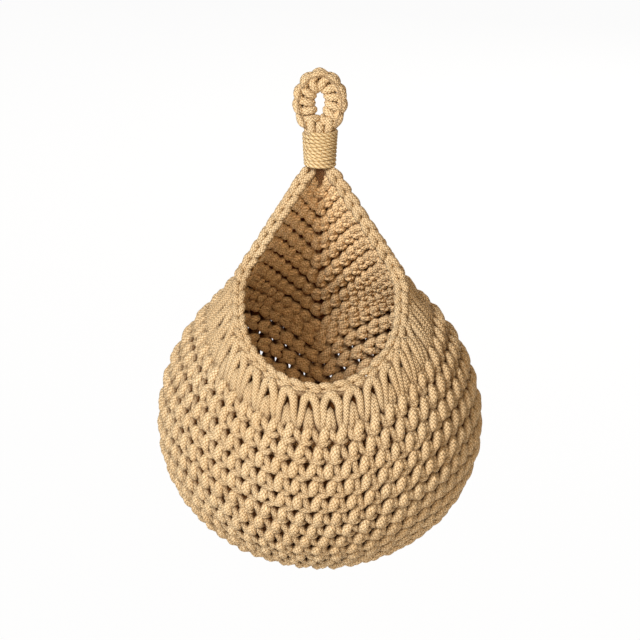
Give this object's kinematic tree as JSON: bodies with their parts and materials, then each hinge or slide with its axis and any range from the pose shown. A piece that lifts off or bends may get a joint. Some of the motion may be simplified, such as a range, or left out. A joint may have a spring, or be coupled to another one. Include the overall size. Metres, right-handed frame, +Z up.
{
  "type": "hanging fruit basket",
  "caption": "Teardrop hanging basket crocheted from thick braided cord, with a front mouth, whipped neck and hanging loop, for fruit and small goods.",
  "frame": {"origin": "middle of the hanging loop's eye", "axes": "+Z up, the mouth faces -Y, +X to the right of the mouth as seen from the front"},
  "size_m": [0.1968, 0.1967, 0.3096],
  "materials": {
    "belly_cord": "braided cotton cord, tan, matt",
    "hood_cord": "braided cotton cord, tan, matt",
    "rim_cord": "braided cotton cord worked as a chain, tan, matt",
    "neck_cord": "bundle of braided cotton cord, tan, matt",
    "whipping_cord": "twisted cotton cord, light tan, matt",
    "loop_cord": "braided cotton cord, tan, matt"
  },
  "bodies": {
    "loop": {"loop_core": "loop_cord", "loop_cover": "loop_cord", "loop_edge_chain": "loop_cord"},
    "neck": {"neck_core": "neck_cord", "neck_whipping": "whipping_cord"},
    "basket": {"centre_ring": "belly_cord", "body_round_01": "belly_cord", "body_round_02": "belly_cord", "body_round_03": "belly_cord", "body_round_04": "belly_cord", "body_round_05": "belly_cord", "body_round_06": "belly_cord", "body_round_07": "belly_cord", "body_round_08": "belly_cord", "body_round_09": "belly_cord", "body_round_10": "belly_cord", "body_round_11": "belly_cord", "body_round_12": "belly_cord", "body_round_13": "belly_cord", "body_round_14": "belly_cord", "body_round_15": "belly_cord", "lip_round": "belly_cord", "back_row_01": "hood_cord", "back_row_02": "hood_cord", "back_row_03": "hood_cord", "back_row_04": "hood_cord", "back_row_05": "hood_cord", "back_row_06": "hood_cord", "back_row_07": "hood_cord", "crown_gather": "hood_cord", "rim_chain": "rim_cord"}
  },
  "joints": [
    {"name": "neck_nod", "type": "hinge", "parent": "loop", "child": "neck", "pos_m": [0, 0, -0.016], "axis": [1, 0, 0], "range_deg": [-20, 20]},
    {"name": "basket_sway", "type": "hinge", "parent": "neck", "child": "basket", "pos_m": [0, 0, -0.04], "axis": [0, 1, 0], "range_deg": [-20, 20]}
  ]
}
